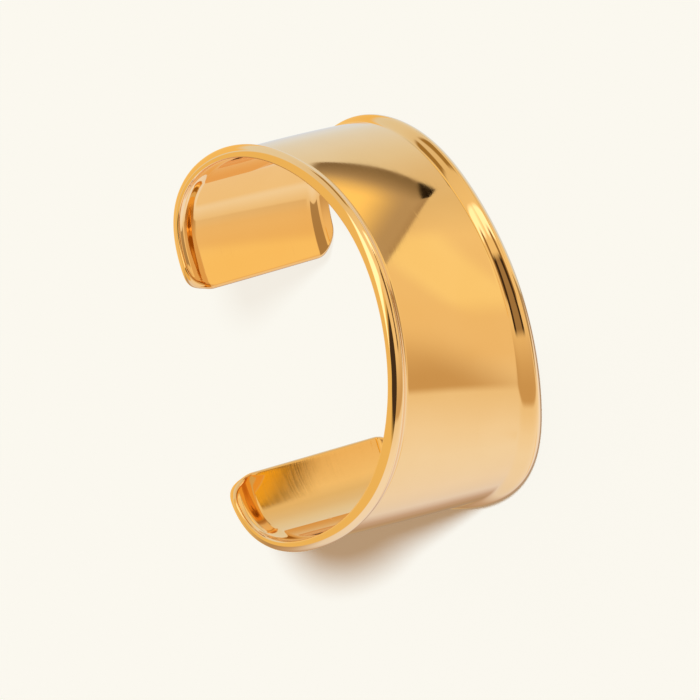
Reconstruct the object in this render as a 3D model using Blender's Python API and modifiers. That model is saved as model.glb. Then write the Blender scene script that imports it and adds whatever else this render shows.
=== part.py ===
"""Wide C-shaped cuff bracelet: one formed metal sheet with a raised bead along both rims.

Metres, +Z up. The wrist goes through along Z, the mouth faces -Y, and the cuff lies on its
lower rim. The origin is under the middle of the cuff's box, on the surface it lies on.
The cuff is bent by hand: it is a little narrower at the back's left, and a little skew.
"""

import math

import bmesh
import bpy
import numpy as np
from mathutils import Vector

# The sheet as it is cut, flat
BAND_WIDTH = 0.0297
HALF_LENGTH = 0.0672
MOUTH_OFFSET = 0.0026
CORNER_RADIUS = 0.0045
SHEET_THICKNESS = 0.0011
EDGE_ROUNDING = 0.0003

# The relief pressed into it
BEAD_WIDTH = 0.0044
BEAD_CREST = 0.0018
BEAD_HEIGHT = 0.0009
BAND_CROWN = 0.0003

# How each rim is bent to an oval. Each row is a place on the band, from the middle of the back
# to the end of an arm, then the bend's radius there on the left arm and on the right arm. All
# are shares of HALF_LENGTH. The band runs straight across from one rim to the other.
UPPER_BENDS = (
    # place, left, right
    (0.00, 0.62, 0.62),
    (0.22, 0.40, 0.54),
    (0.44, 0.413, 0.321),
    (0.64, 0.261, 0.378),
    (0.82, 0.155, 0.140),
    (1.00, 0.456, 0.446),
)
LOWER_BENDS = (
    # place, left, right
    (0.00, 0.62, 0.62),
    (0.22, 0.736, 0.716),
    (0.44, 0.317, 0.197),
    (0.64, 0.264, 0.606),
    (0.82, 0.1735, 0.1475),
    (1.00, 0.476, 0.442),
)

# The hand-bent band is a little skew: its lower rim is turned about the middle of the back, in
# degrees, and shifted along X and Y, as shares of HALF_LENGTH
LOWER_TURN = 3.7
LOWER_SHIFT = (0.0207, 0.0025)

# Growth of the band's width over one HALF_LENGTH along X and along Y. BAND_WIDTH is the width
# at the middle of the back.
WIDTH_GROWTH = (0.19, -0.295)

# How finely it is divided
BEND_STEPS = 600
ARM_ROWS = 66
CORNER_ROWS = 5
BEAD_COLUMNS = 6
CROWN_COLUMNS = 8
EDGE_SEGMENTS = 2
EDGE_ANGLE = math.radians(57.0)

GOLD_COLOUR = (0.87, 0.56, 0.20, 1.0)
GOLD_ROUGHNESS = 0.12


def clear_scene():
    """Remove what is in the open file."""
    for item in list(bpy.data.objects):
        bpy.data.objects.remove(item, do_unlink=True)


def gold():
    """Bright yellow gold plating."""
    material = bpy.data.materials.new("polished_gold")
    material.use_nodes = True
    surface = material.node_tree.nodes["Principled BSDF"]
    surface.inputs["Base Color"].default_value = GOLD_COLOUR
    surface.inputs["Metallic"].default_value = 1.0
    surface.inputs["Roughness"].default_value = GOLD_ROUGHNESS
    material.diffuse_color = GOLD_COLOUR
    return material


def ease(value):
    """Rise smoothly from 0 to 1 as value does."""
    value = np.clip(value, 0.0, 1.0)
    return value * value * (3.0 - 2.0 * value)


def bend_at(distance, places, radii):
    """Curvature of a rim at distances from the middle of its back."""
    share = distance / HALF_LENGTH
    bends = 1.0 / (np.array(radii) * HALF_LENGTH)
    curvature = np.full_like(share, bends[0])
    for index, change in enumerate(np.diff(bends)):
        start, end = places[index], places[index + 1]
        curvature += change * ease((share - start) / (end - start))
    return curvature


def bent_arm(places, radii):
    """Trace a rim in plan from the middle of its back: X, Y and heading at even steps.

    The heading starts along +X and turns clockwise, towards -Y.
    """
    distance = np.linspace(0.0, HALF_LENGTH + abs(MOUTH_OFFSET), BEND_STEPS)
    step = distance[1]
    curvature = bend_at(distance, places, radii)
    turn = (curvature[1:] + curvature[:-1]) * step / 2.0
    heading = np.concatenate(([0.0], np.cumsum(turn)))
    middle = (heading[1:] + heading[:-1]) / 2.0
    x = np.concatenate(([0.0], np.cumsum(np.cos(middle) * step)))
    y = np.concatenate(([0.0], np.cumsum(-np.sin(middle) * step)))
    return x, y, heading


def bent_rim(bends, turn=0.0, shift=(0.0, 0.0)):
    """Trace a rim in plan from the left arm to the right one.

    Each row holds the distance along the band, X, Y, and the X and Y of the way its outside
    faces.
    """
    places, left_radii, right_radii = zip(*bends)
    left_x, left_y, left_heading = bent_arm(places, left_radii)
    right_x, right_y, right_heading = bent_arm(places, right_radii)
    reach = HALF_LENGTH + abs(MOUTH_OFFSET)
    distance = np.linspace(-reach, reach, 2 * BEND_STEPS - 1)
    x = np.concatenate((-left_x[:0:-1], right_x))
    y = np.concatenate((left_y[:0:-1], right_y))
    heading = np.concatenate((-left_heading[:0:-1], right_heading)) - turn
    turned_x = x * np.cos(turn) - y * np.sin(turn) + shift[0] * HALF_LENGTH
    turned_y = x * np.sin(turn) + y * np.cos(turn) + shift[1] * HALF_LENGTH
    return np.stack((distance, turned_x, turned_y, np.sin(heading), np.cos(heading)))


def relief(across):
    """Height of the outer face over the unpressed sheet, at a distance from the middle line."""
    from_rim = BAND_WIDTH / 2.0 - abs(across)
    bead = ease(from_rim / BEAD_CREST)
    bead *= 1.0 - ease((from_rim - BEAD_CREST) / (BEAD_WIDTH - BEAD_CREST))
    crown = 1.0 - (2.0 * across / BAND_WIDTH) ** 2
    return BEAD_HEIGHT * bead + BAND_CROWN * crown


def rounded(along, across, end):
    """Move a point of the flat sheet so that the square corner at an end becomes round.

    end is how far that end lies from the middle of the back.
    """
    over_along = (abs(along) - (end - CORNER_RADIUS)) / CORNER_RADIUS
    over_across = (abs(across) - (BAND_WIDTH / 2.0 - CORNER_RADIUS)) / CORNER_RADIUS
    if over_along <= 0.0 or over_across <= 0.0:
        return along, across
    pulled_along = over_along * np.sqrt(1.0 - over_across ** 2 / 2.0)
    pulled_across = over_across * np.sqrt(1.0 - over_along ** 2 / 2.0)
    along_size = end - CORNER_RADIUS + CORNER_RADIUS * pulled_along
    across_size = BAND_WIDTH / 2.0 - CORNER_RADIUS + CORNER_RADIUS * pulled_across
    return np.copysign(along_size, along), np.copysign(across_size, across)


def lines(*stretches):
    """Places of grid lines over stretches in a row, each given as start, end and count."""
    places = [stretches[0][0]]
    for start, end, count in stretches:
        places.extend(np.linspace(start, end, count + 1)[1:])
    return places


def flat_sheet():
    """Grid of the flat sheet, with rounded corners. X runs along the band and Y across it."""
    left = -(HALF_LENGTH + MOUTH_OFFSET)
    right = HALF_LENGTH - MOUTH_OFFSET
    rim = BAND_WIDTH / 2.0
    along = lines(
        (left, left + CORNER_RADIUS, CORNER_ROWS),
        (left + CORNER_RADIUS, right - CORNER_RADIUS, ARM_ROWS),
        (right - CORNER_RADIUS, right, CORNER_ROWS),
    )
    across = lines(
        (-rim, BEAD_WIDTH - rim, BEAD_COLUMNS),
        (BEAD_WIDTH - rim, rim - BEAD_WIDTH, CROWN_COLUMNS),
        (rim - BEAD_WIDTH, rim, BEAD_COLUMNS),
    )
    rows = len(along) - 1
    columns = len(across) - 1
    sheet = bmesh.new()
    bmesh.ops.create_grid(sheet, x_segments=rows, y_segments=columns, size=1.0)
    for vertex in sheet.verts:
        row = round((vertex.co.x + 1.0) / 2.0 * rows)
        column = round((vertex.co.y + 1.0) / 2.0 * columns)
        end = abs(left) if along[row] < 0.0 else right
        vertex.co.x, vertex.co.y = rounded(along[row], across[column], end)
    return sheet


def bend(vertices, lower_rim, upper_rim, sunk):
    """Put flat vertices on the bent and pressed sheet, sunk below its outer face."""
    for vertex in vertices:
        along, across = vertex.co.x, vertex.co.y
        lower = np.array([np.interp(along, lower_rim[0], row) for row in lower_rim[1:]])
        upper = np.array([np.interp(along, upper_rim[0], row) for row in upper_rim[1:]])
        x, y, facing_x, facing_y = lower + (upper - lower) * (across / BAND_WIDTH + 0.5)
        height = (relief(across) - sunk) / np.hypot(facing_x, facing_y)
        x += height * facing_x
        y += height * facing_y
        growth = (x * WIDTH_GROWTH[0] + y * WIDTH_GROWTH[1]) / HALF_LENGTH
        vertex.co = (x, y, across * (1.0 + growth))


def closed_sheet():
    """Bend the flat sheet and close it: an outer face, an inner face and the cut edge."""
    body = flat_sheet()
    copied = bmesh.ops.extrude_face_region(body, geom=body.faces[:], use_keep_orig=True)
    inner = [item for item in copied["geom"] if isinstance(item, bmesh.types.BMVert)]
    outer = [vertex for vertex in body.verts if vertex not in set(inner)]
    lower_rim = bent_rim(LOWER_BENDS, math.radians(LOWER_TURN), LOWER_SHIFT)
    upper_rim = bent_rim(UPPER_BENDS)
    bend(outer, lower_rim, upper_rim, 0.0)
    bend(inner, lower_rim, upper_rim, SHEET_THICKNESS)
    bmesh.ops.recalc_face_normals(body, faces=body.faces[:])
    if body.calc_volume(signed=True) < 0.0:
        bmesh.ops.reverse_faces(body, faces=body.faces[:])
    return body


def seat(body):
    """Lay the lower rim flat on the surface and centre the cuff over the origin."""
    lean = BAND_WIDTH / 2.0 / HALF_LENGTH
    rim_normal = Vector((lean * WIDTH_GROWTH[0], lean * WIDTH_GROWTH[1], 1.0))
    upright = rim_normal.rotation_difference(Vector((0.0, 0.0, 1.0))).to_matrix()
    bmesh.ops.rotate(body, verts=body.verts[:], cent=(0.0, 0.0, 0.0), matrix=upright)
    corners = np.array([vertex.co for vertex in body.verts])
    low, high = corners.min(axis=0), corners.max(axis=0)
    middle = (low + high) / 2.0
    bmesh.ops.translate(body, verts=body.verts[:], vec=(-middle[0], -middle[1], -low[2]))


def add_cuff_band(collection):
    """The cuff, with its cut edges rounded over."""
    body = closed_sheet()
    seat(body)
    mesh = bpy.data.meshes.new("cuff_band")
    body.to_mesh(mesh)
    body.free()
    mesh.materials.append(gold())
    mesh.shade_smooth()
    band = bpy.data.objects.new("cuff_band", mesh)
    collection.objects.link(band)
    edge = band.modifiers.new("edge_rounding", "BEVEL")
    edge.width = EDGE_ROUNDING
    edge.segments = EDGE_SEGMENTS
    edge.limit_method = "ANGLE"
    edge.angle_limit = EDGE_ANGLE
    return band


def main():
    clear_scene()
    collection = bpy.data.collections.new("cuff_bracelet")
    bpy.context.scene.collection.children.link(collection)
    add_cuff_band(collection)


main()
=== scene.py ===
"""The looks of a polished gold cuff bracelet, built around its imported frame.

The cuff is one bent sheet with a raised bead along both rims. It lies on its lower rim, and
the camera looks down on its back and into its hollow. Lengths are in metres. Azimuths are
degrees from +Y towards +X, and heights are degrees over the floor.
"""

import math

import bpy
import numpy as np
from mathutils import Matrix, Vector


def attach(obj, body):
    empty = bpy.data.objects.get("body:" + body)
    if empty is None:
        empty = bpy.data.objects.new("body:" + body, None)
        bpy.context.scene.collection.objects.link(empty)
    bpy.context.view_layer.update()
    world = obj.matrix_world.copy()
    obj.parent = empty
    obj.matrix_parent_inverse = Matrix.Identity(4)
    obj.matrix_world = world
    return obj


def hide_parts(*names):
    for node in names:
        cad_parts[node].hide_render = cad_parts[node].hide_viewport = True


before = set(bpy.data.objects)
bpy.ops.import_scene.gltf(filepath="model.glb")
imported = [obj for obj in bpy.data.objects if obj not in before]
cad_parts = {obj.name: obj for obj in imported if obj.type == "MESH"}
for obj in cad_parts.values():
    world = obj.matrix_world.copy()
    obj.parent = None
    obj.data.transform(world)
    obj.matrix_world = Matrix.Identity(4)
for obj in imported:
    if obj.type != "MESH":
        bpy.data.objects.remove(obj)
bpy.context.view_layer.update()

# The sheet as it is cut, flat
BAND_WIDTH = 0.0297
HALF_LENGTH = 0.0672
MOUTH_OFFSET = 0.0026
CORNER_RADIUS = 0.0045
SHEET_THICKNESS = 0.0011
EDGE_ROUNDING = 0.00047
LEFT_ARM = HALF_LENGTH + MOUTH_OFFSET
RIGHT_ARM = HALF_LENGTH - MOUTH_OFFSET

# The relief pressed into it. The upper bead's width is a share of BEAD_WIDTH, and a share of
# the relief is lost between the sheet's outer and inner faces.
BEAD_WIDTH = 0.0044
BEAD_CREST = 0.0018
BEAD_HEIGHT = 0.0009
BAND_CROWN = 0.0003
UPPER_BEAD_SHARE = 0.68
INNER_SOFTENING = 0.62

# How each rim is bent. Each row is a place on the band, from the middle of the back to the end
# of an arm, then the bend's radius there on the left arm and on the right arm. All are shares
# of HALF_LENGTH.
UPPER_BENDS = (
    # place, left, right
    (0.00, 0.62, 0.62),
    (0.22, 0.40, 0.54),
    (0.44, 0.413, 0.321),
    (0.64, 0.261, 0.378),
    (0.82, 0.155, 0.140),
    (1.00, 0.456, 0.446),
)
LOWER_BENDS = (
    # place, left, right
    (0.00, 0.62, 0.62),
    (0.22, 0.736, 0.716),
    (0.44, 0.317, 0.197),
    (0.64, 0.264, 0.606),
    (0.82, 0.1735, 0.1475),
    (1.00, 0.476, 0.442),
)

# The lower rim's turn about the middle of the back, in degrees, and its shift along X and Y,
# as shares of HALF_LENGTH
LOWER_TURN = 3.7
LOWER_SHIFT = (0.0207, 0.0025)

# Growth of the band's width over one HALF_LENGTH along X and along Y
WIDTH_GROWTH = (0.19, -0.295)

# How finely it is divided
RIM_POINTS = 900
ROWS = 300
COLUMNS = 92
EDGE_LEVELS = 10

# Colours of the metal
GOLD = (0.92, 0.63, 0.28, 1.0)
GOLD_CLOUD = (0.90, 0.60, 0.25, 1.0)
GOLD_RUBBED = (0.95, 0.69, 0.36, 1.0)
# Painted reflection: deeper orange gold inside the arms near their ends, standing in for light
# bounced between the inner faces
GOLD_PAINTED_REFLECTION = (0.88, 0.44, 0.07, 1.0)
CLOUD_SHARE = 0.5
RUBBED_SHARE = 0.6
RUBBED_CRESTS = (0.6, 1.6)
PAINTED_REFLECTION_SHARE = 0.4
PAINTED_REFLECTION_START = 0.84
INNER_LEVELS = (0.4, 0.6)

# Roughness of the polish, and what each mark adds to it
LEAST_ROUGHNESS = 0.012
ADDED_ROUGHNESS = (("Clouds", 0.02), ("Hairlines", 0.02), ("Scratches", 0.10))
HAIRLINE_DEPTH = 0.25
BUMP_STRENGTH = 0.1
BUMP_DISTANCE = 0.000004

# Noise that each mark is made from: its stretch along and across the band, its scale and
# detail, and the levels of the noise where the mark starts and where it is full
CLOUD_NOISE = ((1.0, 1.0, 0.0), 90.0, 3.0, 0.3, 0.7)
HAIRLINE_NOISE = ((12.0, 900.0, 0.0), 6.0, 4.0, 0.35, 0.75)
WEAR_NOISE = ((1.0, 1.0, 0.0), 160.0, 2.0, 0.52, 0.62)
SCRATCH_NOISE = ((40.0, 700.0, 0.0), 1.6, 0.0, 0.72, 0.80)

# The camera: degrees, metres, a sensor in millimetres, and pixels of a 700 pixel picture
PICTURE_SIZE = 700.0
SENSOR_WIDTH = 36.0
CAMERA_TURN = 182.454
CAMERA_HEIGHT = 41.305
CAMERA_ROLL = -107.067
CAMERA_DISTANCE = 1.14557
CLIP_START = 0.01
PIXELS_PER_METRE = 6631.1
AIM_RIGHT = -0.000765
AIM_UP = -0.003222
AIM_HEIGHT = 0.018215

# Painted light: the floor's own glow where it takes the lamp's shadow, which gives the shadow its
# warm tone, and where it is fully lit, which fills the shadow in on the left arm's side; and the X
# over which it goes from its least share of shadow to the full one
FLOOR_SIZE = 4.0
FLOOR_COLOUR = (0.8, 0.8, 0.8, 1.0)
FLOOR_ROUGHNESS = 0.9
FLOOR_SHADOW_GLOW = (0.44, 0.28, 0.15, 1.0)
FLOOR_PAINTED_LIGHT = (0.965, 0.939, 0.863, 1.0)
SHADOW_LEAST = 0.15
SHADOW_START = 0.004
SHADOW_FULL = 0.018

# Light on the floor: an even one, and a lamp whose spread is in degrees
EVEN_STRENGTH = 0.04
EVEN_COLOUR = (1.0, 0.985, 0.95, 1.0)
KEY_STRENGTH = 3.67
KEY_COLOUR = (0.722, 0.919, 1.0)
KEY_SPREAD = 9.0
KEY_AZIMUTH = -15.0
KEY_HEIGHT = 47.0

# What the metal mirrors all round it
RING = (
    # azimuth, (red, green, blue)
    (-180.0, (0.70, 0.74, 0.80)),
    (-150.0, (0.79, 0.89, 1.05)),
    (-120.0, (0.83, 0.88, 1.00)),
    (-95.0, (0.84, 0.83, 0.84)),
    (-76.0, (0.82, 0.73, 0.62)),
    (-56.0, (0.84, 0.70, 0.49)),
    (-36.0, (0.98, 0.81, 0.54)),
    (0.0, (0.95, 0.76, 0.49)),
    (22.0, (0.93, 0.74, 0.50)),
    (38.0, (0.93, 0.82, 0.70)),
    (52.0, (0.97, 0.93, 0.97)),
    (68.0, (0.97, 0.98, 1.14)),
    (100.0, (0.94, 0.96, 1.20)),
    (124.0, (0.86, 0.88, 1.10)),
    (140.0, (0.60, 0.47, 0.42)),
    (152.0, (0.49, 0.34, 0.22)),
    (172.0, (0.40, 0.28, 0.18)),
    (180.0, (0.55, 0.50, 0.44)),
)

# Ends of the azimuths and of the heights
FIRST_AZIMUTH = -180.0
LAST_AZIMUTH = 180.0
NADIR = -90.0
ZENITH = 90.0

# Soft-edged panes over that ring, each over the ones before it. A pane is whole from the first
# to the second of its azimuths and heights, fades outside them, and covers a share of what it
# lies over. The gold wall goes round from the last azimuth to the first.
PANES_UNDER_CARD = (
    # name, azimuths, fades, heights, fade, share, colour
    ("bright low", (-32.0, -4.0), (12.0, 12.0), (-53.0, -49.8), 2.0, 0.85, (1.07, 0.93, 0.58)),
)
PANES_OVER_CARD = (
    # name, azimuths, fades, heights, fade, share, colour
    ("fold of shade", (31.0, 33.5), (27.0, 4.0), (-42.0, ZENITH), 5.5, 0.9, (0.62, 0.42, 0.22)),
)
PANES_OVER_AMBER = (
    # name, azimuths, fades, heights, fade, share, colour
    ("warm card", (66.0, 106.0), (12.0, 12.0), (-46.5, -40.5), 1.5, 0.9, (0.95, 0.81, 0.64)),
    ("strip lamp", (-36.0, -27.0), (3.0, 3.0), (-36.0, -4.0), 3.0, 1.0, (1.50, 1.45, 1.35)),
    ("brown card", (-78.0, -58.0), (6.0, 6.0), (-32.0, -9.0), 3.0, 1.0, (0.38, 0.24, 0.08)),
    ("brown edge", (-26.0, -4.0), (5.0, 5.0), (-20.0, -10.0), 2.0, 1.0, (0.34, 0.21, 0.09)),
    ("dull strip", (-16.0, 9.0), (4.0, 4.0), (-3.0, 6.0), 1.5, 1.0, (0.38, 0.26, 0.15)),
    ("black strip", (-16.0, 9.0), (4.0, 4.0), (-12.0, -3.5), 1.5, 1.0, (0.05, 0.03, 0.02)),
    ("gold wall", (178.0, -126.0), (28.0, 10.0), (-38.0, 30.0), 3.0, 1.0, (0.97, 0.70, 0.29)),
    ("brown low", (-13.0, 36.0), (3.0, 3.0), (NADIR, -57.5), 2.0, 1.0, (0.46, 0.34, 0.22)),
    (
        "gold ceiling", (FIRST_AZIMUTH, LAST_AZIMUTH), (1.0, 1.0), (40.0, ZENITH), 6.0, 1.0,
        (0.90, 0.66, 0.28),
    ),
    ("ceiling lamp", (-52.0, -22.0), (6.0, 6.0), (34.0, 84.0), 4.0, 1.0, (1.50, 1.45, 1.30)),
    ("ceiling black", (-6.0, 36.0), (8.0, 14.0), (40.0, 82.0), 3.0, 1.0, (0.06, 0.04, 0.03)),
)

# The grey card whose reflection is the large dark patch on the back. A line is an azimuth, its
# height there and its rise for each degree. The foot sags past its own azimuth.
CARD_EDGE = (-106.0, -44.15, -0.222)
CARD_FOOT = (-60.0, -53.6, 0.05)
CARD_SAG = 0.0023
CARD_BORDER = (-0.1, 0.15)
CARD_WINDOW = ((-108.0, -24.0), (8.0, 8.0), (-56.0, -44.2), 1.0)
CARD_COLOUR = (0.52, 0.41, 0.30)
CARD_LIT = (1.20, 0.92, 0.40)
LIT_OVER_EDGE = (1.2, 3.6)
LIT_OVER_FOOT = (1.4, 5.8)
CARD_SHADED = (0.22, 0.165, 0.11)
SHADED_OVER_EDGE = (0.2, 2.4)
SHADED_AZIMUTHS = ((-104.0, -62.0), (6.0, 6.0))
SHADED_SHARE = 0.9
CARD_RIMMED = (0.38, 0.27, 0.17)
RIMMED_OVER_FOOT = (0.0, 0.9)
RIMMED_AZIMUTHS = ((-58.0, -30.0), (3.0, 3.0))
RIMMED_SHARE = 0.55
CARD_CORNER = (0.02, 0.013, 0.008)
CORNER_AZIMUTHS = ((-71.0, -59.8), (0.6, 0.6))
CORNER_OPENING = 0.13
CORNER_BORDER = 0.15

# The amber corner and the brown strip beside it, which the inside of the right arm mirrors
AMBER_EDGE = (-12.0, -41.97, 0.0244)
AMBER_WINDOW = ((-40.0, 5.0), (14.0, 2.0), (-43.4, -41.0), 0.3)
AMBER_BORDER = (-0.04, 0.04)
AMBER_COLOUR = (0.98, 0.56, 0.04)
BROWN_START = (-0.05, 0.03)
BROWN_END = (0.18, 0.27)
BROWN_COLOUR = (0.25, 0.16, 0.05)


def ease(value):
    """Rise smoothly from 0 to 1 as value does."""
    value = np.clip(value, 0.0, 1.0)
    return value * value * (3.0 - 2.0 * value)


def bend_at(distance, places, radii):
    """Curvature of a rim at distances from the middle of its back."""
    share = distance / HALF_LENGTH
    bends = 1.0 / (np.array(radii) * HALF_LENGTH)
    curvature = np.full_like(share, bends[0])
    for index, change in enumerate(np.diff(bends)):
        start, end = places[index], places[index + 1]
        curvature += change * ease((share - start) / (end - start))
    return curvature


def bent_arm(length, places, radii):
    """Plan of one arm's rim: X and Y at even steps from the middle of the back."""
    distance = np.linspace(0.0, length, RIM_POINTS)
    step = distance[1]
    curvature = bend_at(distance, places, radii)
    turn = (curvature[1:] + curvature[:-1]) * step / 2.0
    heading = np.concatenate(([0.0], np.cumsum(turn)))
    middle = (heading[1:] + heading[:-1]) / 2.0
    x = np.concatenate(([0.0], np.cumsum(np.cos(middle) * step)))
    y = np.concatenate(([0.0], np.cumsum(-np.sin(middle) * step)))
    return x, y


def rim_line(name, bends, turn=0.0, shift=(0.0, 0.0)):
    """Curve along a rim's outer face in plan, from the left arm's end to the right arm's."""
    places, left_radii, right_radii = zip(*bends)
    left_x, left_y = bent_arm(LEFT_ARM, places, left_radii)
    right_x, right_y = bent_arm(RIGHT_ARM, places, right_radii)
    flat_x = np.concatenate((-left_x[:0:-1], right_x))
    flat_y = np.concatenate((left_y[:0:-1], right_y))
    x = flat_x * np.cos(turn) - flat_y * np.sin(turn) + shift[0] * HALF_LENGTH
    y = flat_x * np.sin(turn) + flat_y * np.cos(turn) + shift[1] * HALF_LENGTH
    data = bpy.data.curves.new(name, "CURVE")
    data.dimensions = "3D"
    spline = data.splines.new("POLY")
    spline.points.add(len(x) - 1)
    points = np.stack((x, y, np.zeros_like(x), np.ones_like(x)), axis=1)
    spline.points.foreach_set("co", points.ravel())
    line = bpy.data.objects.new(name, data)
    bpy.context.scene.collection.objects.link(line)
    return line


class Wiring:
    """Adds nodes to a tree and joins them, so that a formula reads as one."""

    def __init__(self, tree):
        self.tree = tree

    def add(self, kind, settings=None, **values):
        """Add a node, with its settings and what feeds its sockets by name."""
        node = self.tree.nodes.new(kind)
        for name, value in (settings or {}).items():
            setattr(node, name, value)
        for name, value in values.items():
            self.feed(node.inputs[name.replace("_", " ")], value)
        return node

    def feed(self, socket, value):
        """Give a socket a value, or join another socket to it."""
        if isinstance(value, bpy.types.NodeSocket):
            self.tree.links.new(value, socket)
        else:
            socket.default_value = value

    def maths(self, operation, *values):
        node = self.tree.nodes.new("ShaderNodeMath")
        node.operation = operation
        for socket, value in zip(node.inputs, values):
            self.feed(socket, value)
        return node.outputs[0]

    def plus(self, *values):
        total = values[0]
        for value in values[1:]:
            total = self.maths("ADD", total, value)
        return total

    def minus(self, first, second):
        return self.maths("SUBTRACT", first, second)

    def times(self, *values):
        product = values[0]
        for value in values[1:]:
            product = self.maths("MULTIPLY", product, value)
        return product

    def over(self, first, second):
        return self.maths("DIVIDE", first, second)

    def clamped(self, value):
        """Keep a value between 0 and 1."""
        node = self.tree.nodes.new("ShaderNodeClamp")
        self.feed(node.inputs["Value"], value)
        return node.outputs[0]

    def eased(self, value, start=0.0, end=1.0, low=0.0, high=1.0):
        """Smooth step from low to high as value goes from start to end."""
        node = self.tree.nodes.new("ShaderNodeMapRange")
        node.interpolation_type = "SMOOTHSTEP"
        names = ("Value", "From Min", "From Max", "To Min", "To Max")
        for name, item in zip(names, (value, start, end, low, high)):
            self.feed(node.inputs[name], item)
        return node.outputs["Result"]

    def blended(self, share, first, second, label=""):
        """Colour that goes from the first to the second with the share."""
        node = self.tree.nodes.new("ShaderNodeMix")
        node.data_type = "RGBA"
        node.label = label
        first_colour, second_colour = (item for item in node.inputs if item.type == "RGBA")
        self.feed(node.inputs["Factor"], share)
        self.feed(first_colour, first)
        self.feed(second_colour, second)
        return next(item for item in node.outputs if item.type == "RGBA")

    def choose(self, test, when_false, when_true):
        node = self.tree.nodes.new("GeometryNodeSwitch")
        node.input_type = "FLOAT"
        self.feed(node.inputs["Switch"], test)
        self.feed(node.inputs["False"], when_false)
        self.feed(node.inputs["True"], when_true)
        return node.outputs[0]

    def compare(self, operation, first, second):
        node = self.tree.nodes.new("FunctionNodeCompare")
        node.data_type = "FLOAT"
        node.operation = operation
        self.feed(node.inputs["A"], first)
        self.feed(node.inputs["B"], second)
        return node.outputs[0]

    def both(self, first, second):
        node = self.tree.nodes.new("FunctionNodeBooleanMath")
        self.feed(node.inputs[0], first)
        self.feed(node.inputs[1], second)
        return node.outputs[0]


SHEET_INPUTS = (
    # name, kind, value
    ("Lower Line", "NodeSocketObject", None),
    ("Upper Line", "NodeSocketObject", None),
    ("Half Length", "NodeSocketFloat", HALF_LENGTH),
    ("Growth X", "NodeSocketFloat", WIDTH_GROWTH[0]),
    ("Growth Y", "NodeSocketFloat", WIDTH_GROWTH[1]),
    ("Band Width", "NodeSocketFloat", BAND_WIDTH),
    ("Left Arm", "NodeSocketFloat", LEFT_ARM),
    ("Right Arm", "NodeSocketFloat", RIGHT_ARM),
    ("Corner Radius", "NodeSocketFloat", CORNER_RADIUS),
    ("Sheet Thickness", "NodeSocketFloat", SHEET_THICKNESS),
    ("Edge Rounding", "NodeSocketFloat", EDGE_ROUNDING),
    ("Bead Width", "NodeSocketFloat", BEAD_WIDTH),
    ("Bead Crest", "NodeSocketFloat", BEAD_CREST),
    ("Bead Height", "NodeSocketFloat", BEAD_HEIGHT),
    ("Band Crown", "NodeSocketFloat", BAND_CROWN),
    ("Upper Bead Share", "NodeSocketFloat", UPPER_BEAD_SHARE),
    ("Inner Softening", "NodeSocketFloat", INNER_SOFTENING),
    ("Rows", "NodeSocketInt", ROWS),
    ("Columns", "NodeSocketInt", COLUMNS),
    ("Edge Levels", "NodeSocketInt", EDGE_LEVELS),
    ("Metal", "NodeSocketMaterial", None),
)


def depth_and_inset(wire, size, level):
    """How deep in the sheet a level of the cut edge lies, and how far in from the edge.

    The levels run round a quarter circle at the outer face, straight across, and round
    another quarter circle at the inner face.
    """
    steps = wire.minus(size("Edge Levels"), 1.0)
    in_arc = wire.minus(wire.over(steps, 2.0), 0.5)
    quarter = math.pi / 2.0
    from_outer = wire.times(level, steps)
    from_inner = wire.minus(steps, from_outer)
    outer = wire.times(wire.maths("MINIMUM", wire.over(from_outer, in_arc), 1.0), quarter)
    inner = wire.times(wire.maths("MINIMUM", wire.over(from_inner, in_arc), 1.0), quarter)
    least = wire.maths("MINIMUM", wire.maths("SINE", outer), wire.maths("SINE", inner))
    inset = wire.times(size("Edge Rounding"), wire.minus(1.0, least))
    flat = wire.minus(size("Sheet Thickness"), wire.times(size("Edge Rounding"), 2.0))
    depth = wire.plus(
        wire.times(size("Edge Rounding"), wire.minus(1.0, wire.maths("COSINE", outer))),
        wire.times(flat, wire.clamped(wire.minus(from_outer, in_arc))),
        wire.times(size("Edge Rounding"), wire.maths("COSINE", inner)),
    )
    return depth, inset


def rounded_outline(wire, size, along_share, across_share, inset):
    """Place of a point on the flat sheet, whose square corners are pulled round."""
    left = wire.minus(size("Left Arm"), inset)
    right = wire.minus(size("Right Arm"), inset)
    half = wire.minus(wire.over(size("Band Width"), 2.0), inset)
    corner = wire.minus(size("Corner Radius"), inset)
    along = wire.minus(wire.times(along_share, wire.plus(left, right)), left)
    across = wire.times(wire.minus(wire.times(across_share, 2.0), 1.0), half)
    end = wire.choose(wire.compare("LESS_THAN", along, 0.0), right, left)
    along_size = wire.maths("ABSOLUTE", along)
    across_size = wire.maths("ABSOLUTE", across)
    along_start = wire.minus(end, corner)
    across_start = wire.minus(half, corner)
    past_along = wire.over(wire.minus(along_size, along_start), corner)
    past_across = wire.over(wire.minus(across_size, across_start), corner)
    in_corner = wire.both(
        wire.compare("GREATER_THAN", past_along, 0.0),
        wire.compare("GREATER_THAN", past_across, 0.0),
    )

    def pulled(value, other):
        squared = wire.times(other, other)
        return wire.times(value, wire.maths("SQRT", wire.minus(1.0, wire.over(squared, 2.0))))

    round_along = wire.plus(along_start, wire.times(corner, pulled(past_along, past_across)))
    round_across = wire.plus(across_start, wire.times(corner, pulled(past_across, past_along)))
    along_size = wire.choose(in_corner, along_size, round_along)
    across_size = wire.choose(in_corner, across_size, round_across)
    along = wire.times(along_size, wire.maths("SIGN", along))
    across = wire.times(across_size, wire.maths("SIGN", across))
    return along, across


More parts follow.
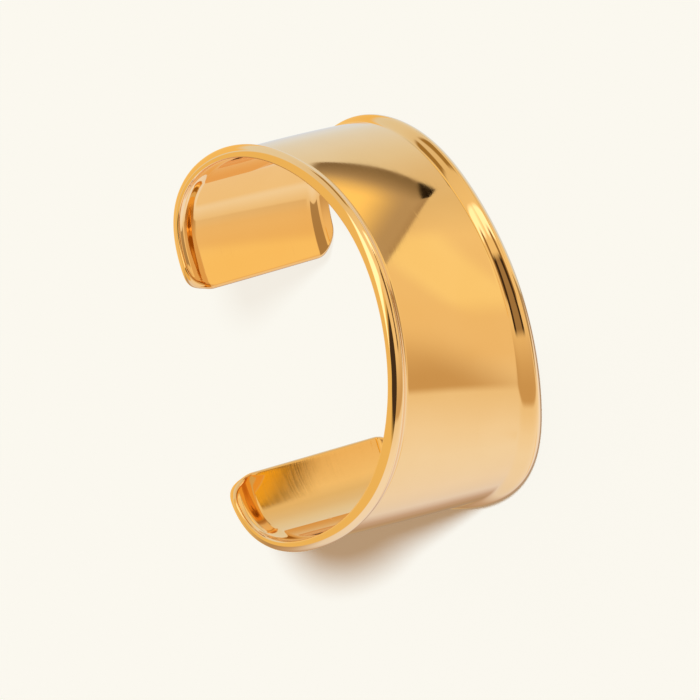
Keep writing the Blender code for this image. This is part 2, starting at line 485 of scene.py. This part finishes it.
def pressed_height(wire, size, across):
    """Height of the outer face over the plain sheet: two beads and a slight crown."""
    from_rim = wire.minus(wire.over(size("Band Width"), 2.0), wire.maths("ABSOLUTE", across))
    is_upper = wire.compare("GREATER_THAN", across, 0.0)
    from_rim = wire.over(from_rim, wire.choose(is_upper, 1.0, size("Upper Bead Share")))
    to_crest = wire.clamped(wire.minus(1.0, wire.over(from_rim, size("Bead Crest"))))
    rise = wire.minus(1.0, wire.times(to_crest, to_crest))
    fall = wire.eased(from_rim, size("Bead Crest"), size("Bead Width"), 1.0, 0.0)
    bead = wire.times(size("Bead Height"), rise, fall)
    share = wire.over(wire.times(across, 2.0), size("Band Width"))
    crown = wire.times(size("Band Crown"), wire.minus(1.0, wire.times(share, share)))
    return wire.plus(bead, crown)


def rim_place(wire, size, line, along):
    """X and Y on a rim's line at a distance along the band, and the X and Y of its heading."""
    source = wire.add(
        "GeometryNodeObjectInfo", {"transform_space": "RELATIVE"}, Object=size(line)
    )
    sample = wire.add(
        "GeometryNodeSampleCurve", {"mode": "LENGTH", "use_all_curves": True},
        Curves=source.outputs["Geometry"], Length=wire.plus(along, size("Left Arm")),
    )
    point = wire.add("ShaderNodeSeparateXYZ", Vector=sample.outputs["Position"])
    heading = wire.add("ShaderNodeSeparateXYZ", Vector=sample.outputs["Tangent"])
    return point.outputs["X"], point.outputs["Y"], heading.outputs["X"], heading.outputs["Y"]


def bent_place(wire, size, along, across, height):
    """Place on the bent sheet of a point of the flat one, at a height over its outer face."""
    upper_share = wire.plus(wire.over(across, size("Band Width")), 0.5)
    lower = rim_place(wire, size, "Lower Line", along)
    upper = rim_place(wire, size, "Upper Line", along)
    x, y, ahead_x, ahead_y = (
        wire.plus(low, wire.times(wire.minus(high, low), upper_share))
        for low, high in zip(lower, upper)
    )
    squares = wire.plus(wire.times(ahead_x, ahead_x), wire.times(ahead_y, ahead_y))
    out_by = wire.over(height, wire.maths("SQRT", squares))
    x = wire.minus(x, wire.times(ahead_y, out_by))
    y = wire.plus(y, wire.times(ahead_x, out_by))
    growth = wire.over(
        wire.plus(wire.times(x, size("Growth X")), wire.times(y, size("Growth Y"))),
        size("Half Length"),
    )
    z = wire.times(across, wire.plus(growth, 1.0))
    return wire.add("ShaderNodeCombineXYZ", X=x, Y=y, Z=z).outputs[0]


def sheet_tree():
    """Geometry nodes that press and bend a block of cells to the cuff's closed sheet."""
    tree = bpy.data.node_groups.new("bent_sheet", "GeometryNodeTree")
    tree.interface.new_socket("Geometry", in_out="INPUT", socket_type="NodeSocketGeometry")
    for name, kind, value in SHEET_INPUTS:
        socket = tree.interface.new_socket(name, in_out="INPUT", socket_type=kind)
        if value is not None:
            socket.default_value = value
    tree.interface.new_socket("Geometry", in_out="OUTPUT", socket_type="NodeSocketGeometry")
    wire = Wiring(tree)
    size = tree.nodes.new("NodeGroupInput").outputs.__getitem__
    block = wire.add(
        "GeometryNodeMeshCube",
        Size=(1.0, 1.0, 1.0), Vertices_X=size("Rows"), Vertices_Y=size("Columns"),
        Vertices_Z=size("Edge Levels"),
    )
    position = wire.add("GeometryNodeInputPosition").outputs[0]
    place = wire.add("ShaderNodeSeparateXYZ", Vector=position)
    along_share = wire.plus(place.outputs["X"], 0.5)
    across_share = wire.plus(place.outputs["Y"], 0.5)
    level = wire.minus(0.5, place.outputs["Z"])
    depth, inset = depth_and_inset(wire, size, level)
    along, across = rounded_outline(wire, size, along_share, across_share, inset)
    sunk = wire.over(depth, size("Sheet Thickness"))
    kept = wire.minus(1.0, wire.times(size("Inner Softening"), sunk))
    height = wire.minus(wire.times(pressed_height(wire, size, across), kept), depth)
    bent = bent_place(wire, size, along, across, height)

    flat = wire.add("ShaderNodeCombineXYZ", X=along, Y=across, Z=level)
    marked = wire.add(
        "GeometryNodeStoreNamedAttribute", {"data_type": "FLOAT_VECTOR", "domain": "POINT"},
        Geometry=block.outputs["Mesh"], Name="flat_place", Value=flat.outputs[0],
    )
    moved = wire.add("GeometryNodeSetPosition", Geometry=marked.outputs[0], Position=bent)
    smooth = wire.add("GeometryNodeSetShadeSmooth", Geometry=moved.outputs[0])
    real = wire.add("GeometryNodeRealizeInstances", Geometry=smooth.outputs[0])
    metal = wire.add(
        "GeometryNodeSetMaterial", Geometry=real.outputs[0], Material=size("Metal")
    )
    out = tree.nodes.new("NodeGroupOutput")
    tree.links.new(metal.outputs[0], out.inputs["Geometry"])
    return tree


def sheet_mesh(metal):
    """The bent sheet as a plain mesh, worked out by the geometry nodes."""
    lower_line = rim_line("lower_line", LOWER_BENDS, math.radians(LOWER_TURN), LOWER_SHIFT)
    upper_line = rim_line("upper_line", UPPER_BENDS)
    host = bpy.data.objects.new("sheet_host", bpy.data.meshes.new("sheet_host"))
    bpy.context.scene.collection.objects.link(host)
    tree = sheet_tree()
    maker = host.modifiers.new("bent_sheet", "NODES")
    maker.node_group = tree
    sockets = {
        item.name: item.identifier for item in tree.interface.items_tree
        if item.in_out == "INPUT"
    }
    maker[sockets["Lower Line"]] = lower_line
    maker[sockets["Upper Line"]] = upper_line
    maker[sockets["Metal"]] = metal
    for name, kind, value in SHEET_INPUTS:
        if value is not None:
            maker[sockets[name]] = value
    bpy.context.view_layer.update()
    shown = host.evaluated_get(bpy.context.evaluated_depsgraph_get())
    mesh = bpy.data.meshes.new_from_object(shown)
    for helper in (host, lower_line, upper_line):
        bpy.data.objects.remove(helper)
    return mesh


def add_cuff(metal):
    """The cuff, centred like the CAD solid and lying on its lower rim."""
    mesh = sheet_mesh(metal)
    mesh.name = "gold_cuff"
    lean = BAND_WIDTH / 2.0 / HALF_LENGTH
    rim_normal = Vector((lean * WIDTH_GROWTH[0], lean * WIDTH_GROWTH[1], 1.0))
    mesh.transform(rim_normal.rotation_difference(Vector((0.0, 0.0, 1.0))).to_matrix().to_4x4())
    corners = np.array([vertex.co for vertex in mesh.vertices])
    low, high = corners.min(axis=0), corners.max(axis=0)
    middle = (low + high) / 2.0
    mesh.transform(Matrix.Translation((-middle[0], -middle[1], -low[2])))
    cuff = bpy.data.objects.new("gold_cuff", mesh)
    bpy.context.scene.collection.objects.link(cuff)
    return cuff


def polish_group():
    """Marks left in the polish: soft clouds, hairlines along the band and a few scratches."""
    tree = bpy.data.node_groups.new("polish_marks", "ShaderNodeTree")
    tree.interface.new_socket("Place", in_out="INPUT", socket_type="NodeSocketVector")
    for name in ("Clouds", "Hairlines", "Scratches", "Height"):
        tree.interface.new_socket(name, in_out="OUTPUT", socket_type="NodeSocketFloat")
    wire = Wiring(tree)
    given = tree.nodes.new("NodeGroupInput")
    out = tree.nodes.new("NodeGroupOutput")

    def mark(stretch, scale, detail, start, full):
        spread = wire.add("ShaderNodeVectorMath", {"operation": "MULTIPLY"})
        wire.feed(spread.inputs[0], given.outputs["Place"])
        wire.feed(spread.inputs[1], stretch)
        noise = wire.add(
            "ShaderNodeTexNoise", Vector=spread.outputs[0], Scale=scale, Detail=detail
        )
        return wire.eased(noise.outputs[0], start, full)

    clouds = mark(*CLOUD_NOISE)
    hairlines = mark(*HAIRLINE_NOISE)
    scratches = wire.times(mark(*WEAR_NOISE), mark(*SCRATCH_NOISE))
    height = wire.minus(wire.times(hairlines, HAIRLINE_DEPTH), scratches)
    wire.feed(out.inputs["Clouds"], clouds)
    wire.feed(out.inputs["Hairlines"], hairlines)
    wire.feed(out.inputs["Scratches"], scratches)
    wire.feed(out.inputs["Height"], height)
    return tree


def polished_gold():
    """Mirror-polished yellow gold with a painted reflection, deeper orange, inside near the arms'
    ends, and a little paler on the rubbed beads.
    """
    material = bpy.data.materials.new("polished_gold")
    material.use_nodes = True
    wire = Wiring(material.node_tree)
    surface = material.node_tree.nodes["Principled BSDF"]
    surface.inputs["Metallic"].default_value = 1.0
    place = wire.add("ShaderNodeAttribute", {"attribute_name": "flat_place"}).outputs["Vector"]
    marks = wire.add("ShaderNodeGroup", {"node_tree": polish_group()}, Place=place)
    where = wire.add("ShaderNodeSeparateXYZ", Vector=place)
    reach = wire.over(wire.maths("ABSOLUTE", where.outputs["X"]), HALF_LENGTH)
    inside = wire.eased(where.outputs["Z"], *INNER_LEVELS)
    near_end = wire.eased(reach, PAINTED_REFLECTION_START, 1.0)
    from_rim = wire.minus(BAND_WIDTH / 2.0, wire.maths("ABSOLUTE", where.outputs["Y"]))
    full, none = (BEAD_CREST * share for share in RUBBED_CRESTS)
    rubbed = wire.eased(from_rim, full, none, 1.0, 0.0)

    colour = wire.blended(wire.times(marks.outputs["Clouds"], CLOUD_SHARE), GOLD, GOLD_CLOUD)
    colour = wire.blended(wire.times(rubbed, RUBBED_SHARE), colour, GOLD_RUBBED)
    # Painted reflection: deeper orange inside near the arms' ends
    colour = wire.blended(wire.times(inside, near_end, PAINTED_REFLECTION_SHARE), colour, GOLD_PAINTED_REFLECTION)
    wire.feed(surface.inputs["Base Color"], colour)
    added = (wire.times(marks.outputs[name], share) for name, share in ADDED_ROUGHNESS)
    wire.feed(surface.inputs["Roughness"], wire.plus(LEAST_ROUGHNESS, *added))
    bump = wire.add(
        "ShaderNodeBump",
        Height=marks.outputs["Height"], Strength=BUMP_STRENGTH, Distance=BUMP_DISTANCE,
    )
    wire.feed(surface.inputs["Normal"], bump.outputs[0])
    return material


def add_floor():
    """Pale floor, far wider than the view, with its full shadow on the right arm's side. It is
    painted light: the floor glows, warm where it takes the shadow, and as bright as the lit floor
    on the left arm's side, which fills the shadow in there.
    """
    bpy.ops.mesh.primitive_plane_add(size=FLOOR_SIZE, location=(0.0, 0.0, 0.0))
    floor = bpy.context.object
    floor.name = "floor"
    material = bpy.data.materials.new("pale_floor")
    material.use_nodes = True
    wire = Wiring(material.node_tree)
    surface = material.node_tree.nodes["Principled BSDF"]
    place = wire.add("ShaderNodeTexCoord").outputs["Object"]
    x = wire.add("ShaderNodeSeparateXYZ", Vector=place).outputs["X"]
    shadow = wire.eased(x, SHADOW_START, SHADOW_FULL, SHADOW_LEAST, 1.0)
    black = (0.0, 0.0, 0.0, 1.0)
    wire.feed(surface.inputs["Base Color"], wire.blended(shadow, black, FLOOR_COLOUR))
    # Painted light: the floor's glow fills in the lamp's shadow on the left arm's side and tints
    # the shadow brown on the right
    wire.feed(surface.inputs["Emission Color"], wire.blended(shadow, FLOOR_PAINTED_LIGHT, FLOOR_SHADOW_GLOW))
    surface.inputs["Emission Strength"].default_value = 1.0
    surface.inputs["Roughness"].default_value = FLOOR_ROUGHNESS
    surface.inputs["Specular IOR Level"].default_value = 0.0
    floor.data.materials.append(material)
    floor.visible_glossy = False
    return floor


def add_camera():
    """Long lens, looking down on the back with the wrist axis running to the right."""
    turn, height, roll = (math.radians(a) for a in (CAMERA_TURN, CAMERA_HEIGHT, CAMERA_ROLL))
    outwards = math.cos(height)
    back = Vector((math.sin(turn) * outwards, -math.cos(turn) * outwards, math.sin(height)))
    level = Vector((0.0, 0.0, 1.0)).cross(back).normalized()
    upright = back.cross(level)
    right = math.cos(roll) * level + math.sin(roll) * upright
    up = -math.sin(roll) * level + math.cos(roll) * upright
    aim = Vector((0.0, 0.0, AIM_HEIGHT)) + AIM_RIGHT * right + AIM_UP * up
    data = bpy.data.cameras.new("camera")
    data.sensor_width = SENSOR_WIDTH
    data.lens = PIXELS_PER_METRE * CAMERA_DISTANCE / PICTURE_SIZE * SENSOR_WIDTH
    data.clip_start = CLIP_START
    camera = bpy.data.objects.new("camera", data)
    bpy.context.scene.collection.objects.link(camera)
    turned = Matrix((right, up, back)).transposed().to_4x4()
    camera.matrix_world = Matrix.Translation(aim + back * CAMERA_DISTANCE) @ turned
    bpy.context.scene.camera = camera
    return camera


class Surroundings:
    """Colour that the metal sees in each direction, built up as one layer over another."""

    def __init__(self, wire, azimuth, height):
        self.wire = wire
        self.azimuth = azimuth
        self.height = height
        self.seen = self.ring()

    def ring(self):
        """Colours all round, from one azimuth of the table to the next."""
        ramp = self.wire.tree.nodes.new("ShaderNodeValToRGB")
        stops = ramp.color_ramp.elements
        stops.remove(stops[1])
        for row, (azimuth, colour) in enumerate(RING):
            share = (azimuth - FIRST_AZIMUTH) / (LAST_AZIMUTH - FIRST_AZIMUTH)
            stop = stops.new(share) if row else stops[0]
            stop.position = share
            stop.color = (*colour, 1.0)
        past_first = self.wire.minus(self.azimuth, FIRST_AZIMUTH)
        self.wire.feed(ramp.inputs[0], self.wire.over(past_first, LAST_AZIMUTH - FIRST_AZIMUTH))
        return ramp.outputs[0]

    def layer(self, name, share, colour):
        """Cover a share of what is seen with a colour."""
        self.seen = self.wire.blended(share, self.seen, (*colour, 1.0), name)

    def between(self, value, start, end, fade_in, fade_out):
        """1 from start to end, fading to 0 outside them.

        With a start that is past the end it is 1 from the start on and up to the end.
        """
        rise = self.wire.eased(value, start - fade_in, start)
        fall = self.wire.eased(value, end, end + fade_out, 1.0, 0.0)
        return self.wire.maths("MULTIPLY" if start < end else "MAXIMUM", rise, fall)

    def along(self, azimuths, fades):
        """1 in a range of azimuths, fading to 0 outside it."""
        return self.between(self.azimuth, *azimuths, *fades)

    def window(self, azimuths, fades, heights, fade):
        """1 in a range of azimuths and heights, fading to 0 outside it."""
        upright = self.between(self.height, *heights, fade, fade)
        return self.wire.times(self.along(azimuths, fades), upright)

    def panes(self, rows):
        """Lay the panes of a table over what is seen, in its order."""
        for name, azimuths, fades, heights, fade, share, colour in rows:
            covered = self.wire.times(self.window(azimuths, fades, heights, fade), share)
            self.layer(name, covered, colour)

    def above(self, at, level, slope):
        """Degrees above a line that has a height at one azimuth, and a slope."""
        rise = self.wire.times(self.wire.minus(self.azimuth, at), slope)
        return self.wire.minus(self.height, self.wire.plus(rise, level))


def add_grey_card(around):
    """Card with a glow along its foot, a shaded edge and a black corner."""
    wire = around.wire
    above_edge = around.above(*CARD_EDGE)
    past = wire.maths("MAXIMUM", wire.minus(around.azimuth, CARD_FOOT[0]), 0.0)
    above_foot = wire.minus(around.above(*CARD_FOOT), wire.times(past, past, CARD_SAG))
    card = wire.times(
        wire.eased(above_edge, *CARD_BORDER),
        wire.eased(above_foot, *CARD_BORDER),
        around.window(*CARD_WINDOW),
    )
    around.layer("card", card, CARD_COLOUR)
    lit = wire.times(wire.eased(above_edge, *LIT_OVER_EDGE), wire.eased(above_foot, *LIT_OVER_FOOT))
    around.layer("card lit", wire.times(card, lit), CARD_LIT)
    shaded = wire.eased(above_edge, *SHADED_OVER_EDGE, SHADED_SHARE, 0.0)
    shaded = wire.times(card, shaded, around.along(*SHADED_AZIMUTHS))
    around.layer("card shaded", shaded, CARD_SHADED)
    rimmed = wire.eased(above_foot, *RIMMED_OVER_FOOT, RIMMED_SHARE, 0.0)
    rimmed = wire.times(card, rimmed, around.along(*RIMMED_AZIMUTHS))
    around.layer("card rimmed", rimmed, CARD_RIMMED)
    opened = wire.times(wire.minus(around.azimuth, CORNER_AZIMUTHS[0][0]), CORNER_OPENING)
    corner = wire.eased(wire.times(wire.minus(opened, above_edge), card), 0.0, CORNER_BORDER)
    around.layer("card corner", wire.times(corner, around.along(*CORNER_AZIMUTHS)), CARD_CORNER)


def add_amber_corner(around):
    """Amber under a slanting line, and a brown strip over it."""
    wire = around.wire
    above = around.above(*AMBER_EDGE)
    window = around.window(*AMBER_WINDOW)
    amber = wire.eased(above, *AMBER_BORDER, 1.0, 0.0)
    around.layer("amber", wire.times(amber, window), AMBER_COLOUR)
    brown = wire.times(wire.eased(above, *BROWN_START), wire.eased(above, *BROWN_END, 1.0, 0.0))
    around.layer("brown strip", wire.times(brown, window), BROWN_COLOUR)


def add_world():
    """Even light for the floor, and listed surroundings for the metal to mirror."""
    world = bpy.data.worlds.new("studio")
    world.use_nodes = True
    tree = world.node_tree
    wire = Wiring(tree)
    seen_from = wire.add("ShaderNodeTexCoord").outputs["Generated"]
    direction = wire.add("ShaderNodeSeparateXYZ", Vector=seen_from)
    x, y, z = (direction.outputs[name] for name in "XYZ")
    azimuth = wire.times(wire.maths("ARCTAN2", x, y), math.degrees(1.0))
    height = wire.times(wire.maths("ARCSINE", z), math.degrees(1.0))
    around = Surroundings(wire, azimuth, height)
    around.panes(PANES_UNDER_CARD)
    add_grey_card(around)
    around.panes(PANES_OVER_CARD)
    add_amber_corner(around)
    around.panes(PANES_OVER_AMBER)

    # The metal mirrors the surroundings but throws no glow on the floor
    ray = wire.add("ShaderNodeLightPath")
    mirrored = wire.add("ShaderNodeBackground", Color=around.seen)
    once = wire.maths("MINIMUM", ray.outputs["Diffuse Depth"], 1.0)
    wire.feed(mirrored.inputs["Strength"], wire.minus(1.0, once))
    even = wire.add("ShaderNodeBackground", Color=EVEN_COLOUR, Strength=EVEN_STRENGTH)
    mix = wire.add("ShaderNodeMixShader", Fac=ray.outputs["Is Glossy Ray"])
    tree.links.new(even.outputs[0], mix.inputs[1])
    tree.links.new(mirrored.outputs[0], mix.inputs[2])
    tree.links.new(mix.outputs[0], tree.nodes["World Output"].inputs["Surface"])
    bpy.context.scene.world = world


def add_key():
    """Soft lamp high behind the camera, which draws the shadow under the right arm."""
    data = bpy.data.lights.new("key", "SUN")
    data.energy = KEY_STRENGTH
    data.angle = math.radians(KEY_SPREAD)
    data.color = KEY_COLOUR
    key = bpy.data.objects.new("key", data)
    bpy.context.scene.collection.objects.link(key)
    azimuth, height = math.radians(KEY_AZIMUTH), math.radians(KEY_HEIGHT)
    outwards = math.cos(height)
    to_lamp = Vector((math.sin(azimuth) * outwards, math.cos(azimuth) * outwards, math.sin(height)))
    key.rotation_euler = to_lamp.to_track_quat("Z", "Y").to_euler()
    key.visible_glossy = False
    return key


def main():
    bpy.context.scene.view_settings.view_transform = "Standard"
    cuff = add_cuff(polished_gold())
    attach(cuff, "root")
    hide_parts("cuff_band")
    add_floor()
    add_world()
    add_key()
    add_camera()


main()
